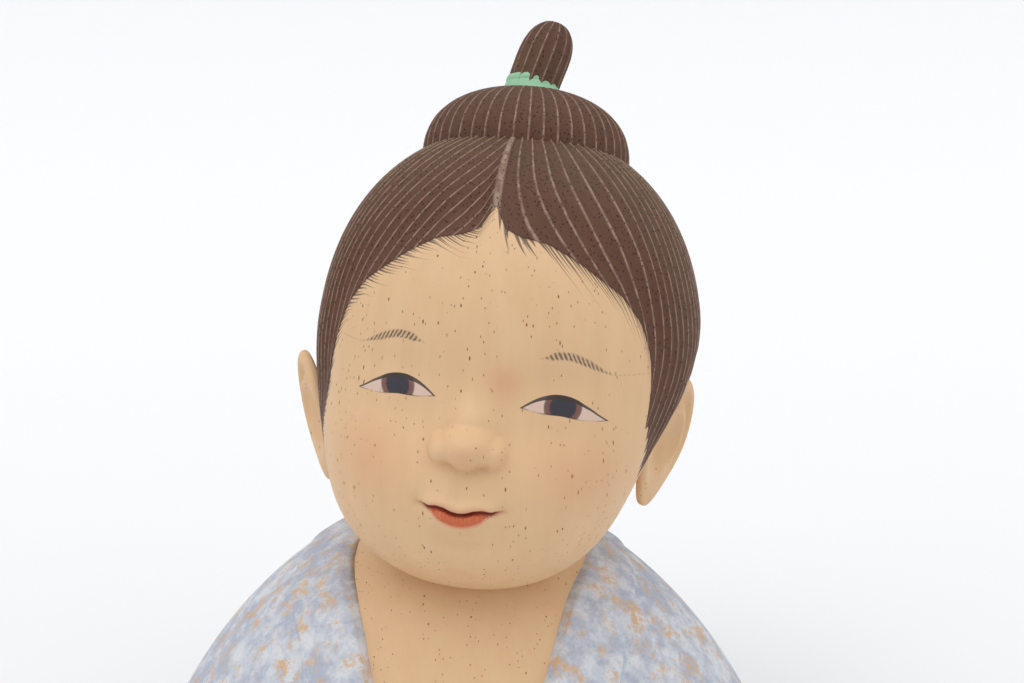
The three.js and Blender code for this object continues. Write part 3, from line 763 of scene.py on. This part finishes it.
class CARVE_OT_hair(bpy.types.Operator):
    """Gouges the combed hair between the bun and the hairline"""

    bl_idname = "carve.hair"
    bl_label = "Hair"

    def execute(self, context):
        sizes = context.scene.doll_hair
        per_strand, rows = 10, 120
        # Columns run along the strands, from the back over the left side to the right.
        half = {side: int(strands_on(side)) * per_strand for side in (-1, 1)}
        left = 180 * (1 - np.arange(half[-1]) / half[-1])[None, :]
        right = 180 * (np.arange(half[1]) / half[1])[None, :]
        along = np.linspace(0, 1, rows)[:, None]
        around = np.concatenate([-combed_left(left, along), combed_right(right, along)], axis=1)
        number = np.concatenate([left * strands_on(-1), right * strands_on(1)], axis=1) / 180 + 0 * along
        away = HAIR_TOP + (hairline(around) - HAIR_TOP) * along
        direction = from_bun_axis(around, away)
        # The parting is a crest, and the flutes that it cuts off run out against it.
        crest = np.maximum(flute(number), ramp(2.6, 0.6, np.abs(around)))
        fading = ramp(1.02, 0.8, along)
        body = 0.1 + (sizes.thickness / MM - 0.1) * ramp(1.0, 0.72, along)
        dip = sizes.flute_depth / MM * (1 - crest) * fading
        skull = skull_surface(direction)
        outer = skull + direction * (body - dip)[..., None]
        hem = skull_surface(direction[-1:]) * 0.97
        inner = skull_surface(from_bun_axis(around[-1:], 0.9 * away[-1:])) * 0.9
        points = np.concatenate([outer, hem, inner])
        flutes = np.stack([number, along + 0 * number, crest], -1)
        flutes = np.concatenate([flutes, flutes[-1:], flutes[-1:]])
        ends = np.array([along_bun_axis(0.0, 0.0, 46.5), [0.0, 0.0, 0.0]])
        material = stained_flutes("stained gouged wood of the hair", 0.75)
        mesh_object("hair", head_in_place(points), head_in_place(ends), material, "hair", flute=flutes)
        return {"FINISHED"}


class CARVE_OT_bun(bpy.types.Operator):
    """Gouges the bun and its topknot, and paints the tie"""

    bl_idname = "carve.bun"
    bl_label = "Bun and topknot"

    def execute(self, context):
        sizes = context.scene.doll_hair
        self.bun(sizes)
        self.tie(sizes)
        self.topknot(sizes)
        return {"FINISHED"}

    def bun(self, sizes):
        """A squashed dome: radius and height follow cosine and sine to the power 2 / 2.3, with flutes up its side."""
        columns, rows = sizes.bun_flutes * 12, 84
        share = (np.arange(columns) / columns)[None, :]
        rise = np.pi * (np.arange(1, rows) / rows - 0.5)[:, None]
        power = 2 / 2.3
        climb = np.sign(rise) * np.abs(np.sin(rise)) ** power
        fullness = np.cos(rise) ** power
        number = share * sizes.bun_flutes + 0 * rise
        crest = flute(number)
        depth = 0.55 * np.minimum(1, 1.4 * fullness) * ramp(0.05, 0.5, fullness)
        radius = sizes.bun_radius / MM * fullness - depth * (1 - crest)
        axial = 46.5 + climb * np.where(climb > 0, sizes.bun_rise / MM, 8) + 0 * share
        angle = 2 * np.pi * share
        points = along_bun_axis(radius * np.sin(angle), -radius * np.cos(angle), axial)
        ends = along_bun_axis(np.zeros(2), np.zeros(2), np.array([38.5, 46.5 + sizes.bun_rise / MM]))
        flutes = np.stack([number, 1 - climb + 0 * number, crest], -1)
        material = stained_flutes("stained gouged wood of the bun", 0.3)
        mesh_object("bun", head_in_place(points), head_in_place(ends), material, "hair", flute=flutes)

    def tie(self, sizes):
        """A low ring that flares to its foot, with a rolled rim."""
        profile = np.array([(0.8, 0), (1.0, 0.02), (1.06, 0.12), (1.05, 0.3), (1.0, 0.5), (0.985, 0.62), (0.97, 0.68),
                            (0.985, 0.74), (0.99, 0.86), (0.96, 0.97), (0.9, 1.0), (0.7, 1.0)])
        steps = np.linspace(0, len(profile) - 1, 40)
        wide = np.interp(steps, np.arange(len(profile)), profile[:, 0])[:, None]
        high = np.interp(steps, np.arange(len(profile)), profile[:, 1])[:, None]
        angle = 2 * np.pi * (np.arange(120) / 120)[None, :]
        radius = wide * (6.9 - 1.0 * high)
        axial = 61 + high * sizes.tie_height / MM + 0 * angle
        points = along_bun_axis(radius * np.sin(angle), -radius * np.cos(angle), axial)
        ends = along_bun_axis(np.zeros(2), np.zeros(2), np.array([61, 61 + sizes.tie_height / MM]))
        mesh_object("tie", head_in_place(points), head_in_place(ends), mint_paint(), "tie")

    def topknot(self, sizes):
        """A fluted tuft that leans to the right. Its flutes sweep over its rounded, slanting tip."""
        count, rows = 14, 90
        columns = count * 14
        climb = (np.sin(np.linspace(0, np.pi / 2, rows + 1))[:-1])[:, None]
        share = (np.arange(columns) / columns)[None, :]
        angle = 2 * np.pi * share
        past = np.maximum(0, climb - 0.35) / 0.65
        fullness = np.maximum(0, 1 - past ** 2.6) ** 0.45
        crest = flute(share * count + 0 * climb)
        radius = fullness * (sizes.topknot_radius / MM - 0.5 * (1 - crest))
        slant = 0.25 * radius * np.sin(angle) * climb
        height = sizes.topknot_height / MM
        points = along_bun_axis(4.8 * climb + radius * np.sin(angle), -radius * np.cos(angle),
                                63 + height * climb - slant)
        ends = along_bun_axis(np.array([0, 4.8]), np.zeros(2), np.array([63, 63 + height]))
        flutes = np.stack([share * count + 0 * climb, climb + 0 * share, crest], -1)
        material = stained_flutes("stained gouged wood of the topknot", 0.4)
        mesh_object("topknot", head_in_place(points), head_in_place(ends), material, "hair", flute=flutes)


BODY_CENTRE = -1
INNER_EDGE = [(-8, -52, -8), (-13.5, -50, 20), (-20.4, -40, 45), (-25, -28, 57), (-27.5, -5, 63.2), (-19, 17, 65.2),
              (0, 24, 68), (19, 17, 64.4), (27.5, -5, 62.3), (24.5, -26, 57.6), (19.1, -40, 45), (8, -50, 20),
              (-2, -52, -8)]
OUTER_EDGE = [(-23, -51, -8), (-29, -47, 20), (-34.5, -35, 44), (-37, -24, 52), (-38, 0, 57.5), (-27, 27, 56.6),
              (0, 34, 57.6), (27, 27, 55.3), (38, 0, 56.1), (37, -22, 52), (34.5, -34, 44), (24, -48, 20),
              (14, -51, -8)]


def body_section(height):
    """Half width, front and back depth of the robed body at a height, as parts of ellipses."""
    sizes = bpy.context.scene.doll_body
    above = np.maximum(height, 0)
    width = 89 * np.sqrt(np.maximum(1 - ((height + 60) / 129.2) ** 2, 0))
    front = sizes.front / MM * np.sqrt(np.maximum(1 - (above / 74) ** 2.2, 0))
    back = sizes.back / MM * np.sqrt(np.maximum(1 - (above / 77) ** 2.4, 0))
    return width, front, back


def on_section(section, x, y, height, proud):
    """The point of a section in the direction (x, y), pushed out by a distance."""
    width, front, back = section
    depth = np.where(y < 0, front, back)
    size = (np.abs(x / width) ** 2.2 + np.abs(y / depth) ** 2.2) ** (1 / 2.2)
    scale = 1 / size + proud / np.hypot(x, y)
    return np.stack([BODY_CENTRE + x * scale, y * scale, height + 0 * scale], axis=-1)


def spline(points, steps):
    """A smooth line through points, read off at steps from 0 to 1."""
    points = np.array(points, float)
    points = np.vstack([2 * points[0] - points[1], points, 2 * points[-1] - points[-2]])
    place = np.clip(steps, 0, 1) * (len(points) - 3)
    first = np.minimum(place.astype(int), len(points) - 4)
    t = (place - first)[..., None]
    a, b, c, d = (points[first + k] for k in range(4))
    return 0.5 * (2 * b + (c - a) * t + (2 * a - 5 * b + 4 * c - d) * t ** 2 + (3 * b - a - 3 * c + d) * t ** 3)


class CARVE_OT_chest(bpy.types.Operator):
    """Carves the bare chest and the neck"""

    bl_idname = "carve.chest"
    bl_label = "Chest and neck"

    def execute(self, context):
        inset = context.scene.doll_body.chest_inset / MM
        rows, columns, top = 120, 240, 80
        height = np.linspace(0.05, top, rows)[:, None]
        width, front, back = body_section(np.minimum(height, 68.6))
        section = [smooth_max(side - inset, least, 5) for side, least in ((width, 26), (front, 23), (back, 20))]
        angle = 2 * np.pi * (np.arange(columns) / columns)[None, :]
        points = on_section(section, np.sin(angle) + 0 * height, -np.cos(angle) + 0 * height, height, 0)
        points[..., 0] += 7 * ramp(52, top, height)
        ends = np.array([[BODY_CENTRE, 0, 0.05], [BODY_CENTRE + 7, 0, top + 0.5]])
        mesh_object("chest", points, ends, bare_wood(), "skin")
        return {"FINISHED"}


class CARVE_OT_robe(bpy.types.Operator):
    """Carves and paints the robe and its collar"""

    bl_idname = "carve.robe"
    bl_label = "Robe and collar"

    def execute(self, context):
        material = painted_robe()
        self.robe(material)
        self.collar(context.scene.doll_body, material)
        return {"FINISHED"}

    def robe(self, material):
        """The shell from the collar's left side round the back to its right side, under the collar band."""
        rows, columns = 150, 320
        steps = np.linspace(0, 1, 600)
        middle = 0.6 * spline(INNER_EDGE, steps) + 0.4 * spline(OUTER_EDGE, steps)
        left, right = middle[:200], middle[-200:][::-1]
        level = np.linspace(0, 1, rows)[:, None]
        share = np.linspace(0, 1, columns)[None, :]
        highest = np.interp(share[0], [0, 0.2, 0.5, 0.8, 1], [60, 60.5, 64, 59.5, 59])[None, :]
        height = level * highest
        start = np.interp(height, left[:, 2], np.arctan2(left[:, 0] - BODY_CENTRE, -left[:, 1]))
        stop = np.interp(height, right[:, 2], np.arctan2(right[:, 0] - BODY_CENTRE, -right[:, 1]))
        angle = start - (start + 2 * np.pi - stop) * share
        section = body_section(height)
        outer = on_section(section, np.sin(angle), -np.cos(angle), height, 0)
        inner = on_section(section, np.sin(angle), -np.cos(angle), height, -4)
        # One ring runs up the outside and down the inside of the shell.
        points = np.concatenate([outer, inner[::-1]]).transpose(1, 0, 2)
        ends = np.array([points[0].mean(0), points[-1].mean(0)])
        mesh_object("robe", points, ends, material, "robe")

    def collar(self, sizes, material):
        """A band laid on the body between two lines, with rounded edges, carried round the neck."""
        steps = np.linspace(0, 1, 420)[:, None]
        proud = sizes.collar_proud / MM
        half = np.linspace(0, np.pi / 2, 7)
        low = np.array([(0, -3.2), (0, -1.2)])
        first = np.stack([0.03 * (1 - np.cos(half)), proud * (0.55 + 0.45 * np.sin(half))], -1)
        flat = np.stack([np.linspace(0.08, 0.92, 12), np.full(12, proud)], -1)
        last = np.stack([1 - 0.02 * (1 - np.cos(half[::-1])), proud * (0.5 + 0.5 * np.sin(half[::-1]))], -1)
        outline = np.concatenate([low, first, flat, last, [(1, -0.6), (0.97, -3.2), (0.66, -3.2), (0.33, -3.2)]])
        inner, outer = spline(INNER_EDGE, steps[:, 0]), spline(OUTER_EDGE, steps[:, 0])
        across = outline[None, :, :1]
        guide = inner[:, None, :] * (1 - across) + outer[:, None, :] * across
        points = on_section(body_section(guide[..., 2]), guide[..., 0] - BODY_CENTRE, guide[..., 1], guide[..., 2],
                            outline[None, :, 1])
        points[..., 2] = np.maximum(points[..., 2], 0)
        ends = np.array([points[0].mean(0), points[-1].mean(0)])
        mesh_object("collar", points, ends, material, "robe")


class CARVE_OT_stage(bpy.types.Operator):
    """Sets the pale floor, the soft lights and the camera"""

    bl_idname = "carve.stage"
    bl_label = "Stage"

    def execute(self, context):
        self.floor()
        self.lights()
        self.camera(context)
        context.scene.view_settings.view_transform = "Standard"
        return {"FINISHED"}

    def floor(self):
        """A flat floor that curves up behind the doll, on a circle of 0.7 m."""
        bend = np.linspace(0, math.pi / 2, 40)
        depth = np.concatenate([[-2.5], 0.35 + 0.7 * np.sin(bend)])
        height = np.concatenate([[0], 0.7 - 0.7 * np.cos(bend)])
        points = np.stack(np.broadcast_arrays(np.array([[-3.0], [3.0]]), depth, height), -1).reshape(-1, 3)
        edge = np.arange(len(depth) - 1)
        faces = np.stack([edge, edge + len(depth), edge + len(depth) + 1, edge + 1], -1)
        mesh = bpy.data.meshes.new("pale_floor")
        mesh.from_pydata(points.tolist(), [], faces.tolist())
        mesh.polygons.foreach_set("use_smooth", np.ones(len(faces), bool))
        material, tree = new_material("matt pale paper")
        finish(tree, (*linear("#f1f2f3"), 1), 0.9, specular=0.1)
        mesh.materials.append(material)
        floor = bpy.data.objects.new("pale_floor", mesh)
        bpy.context.scene.collection.objects.link(floor)

    def lights(self):
        """The even light of a pale tent, with broad soft lights above and at both sides."""
        world = bpy.data.worlds.new("pale tent")
        world.use_nodes = True
        world.node_tree.nodes["Background"].inputs["Color"].default_value = (0.97, 0.98, 1, 1)
        world.node_tree.nodes["Background"].inputs["Strength"].default_value = 0.5
        bpy.context.scene.world = world
        for name, azimuth, elevation, spread, strength in (
            ("above", -20, 75, 60, 1.1),
            ("left", -75, 40, 60, 0.55),
            ("right", 75, 40, 60, 0.55),
        ):
            light = bpy.data.lights.new(name, "SUN")
            light.angle = math.radians(spread)
            light.energy = strength
            lamp = bpy.data.objects.new(name, light)
            lamp.rotation_euler = (math.radians(90 - elevation), 0, math.radians(azimuth))
            bpy.context.scene.collection.objects.link(lamp)

    def camera(self, context):
        lens = bpy.data.cameras.new("camera")
        lens.lens = 50
        lens.sensor_width = 36
        lens.clip_start = 0.01
        camera = bpy.data.objects.new("camera", lens)
        lowered = math.radians(14)
        camera.location = (0.0108, -0.33 * math.cos(lowered), 0.11 + 0.33 * math.sin(lowered))
        camera.rotation_euler = (math.pi / 2 - lowered, 0, 0)
        context.scene.collection.objects.link(camera)
        context.scene.camera = camera


PIECES = [CARVE_OT_face, CARVE_OT_ears, CARVE_OT_hair, CARVE_OT_bun, CARVE_OT_chest, CARVE_OT_robe, CARVE_OT_stage]
SIZES = {"doll_head": HeadSizes, "doll_hair": HairSizes, "doll_body": BodySizes, "doll_colours": DollColours}


class DOLL_PT_pieces(bpy.types.Panel):
    """Lists the doll's pieces"""

    bl_idname = "DOLL_PT_pieces"
    bl_label = "Carved doll"
    bl_space_type = "VIEW_3D"
    bl_region_type = "UI"
    bl_category = "Doll"

    def draw(self, context):
        for piece in PIECES:
            self.layout.operator(piece.bl_idname)


def register():
    for cls in (*SIZES.values(), *PIECES, DOLL_PT_pieces):
        bpy.utils.register_class(cls)
    for key, cls in SIZES.items():
        setattr(bpy.types.Scene, key, PointerProperty(type=cls))


def unregister():
    for key in SIZES:
        delattr(bpy.types.Scene, key)
    for cls in (DOLL_PT_pieces, *PIECES[::-1], *SIZES.values()):
        bpy.utils.unregister_class(cls)


def main():
    register()
    bpy.ops.carve.face()
    bpy.ops.carve.ears()
    bpy.ops.carve.hair()
    bpy.ops.carve.bun()
    bpy.ops.carve.chest()
    bpy.ops.carve.robe()
    bpy.ops.carve.stage()


if __name__ == "__main__":
    main()
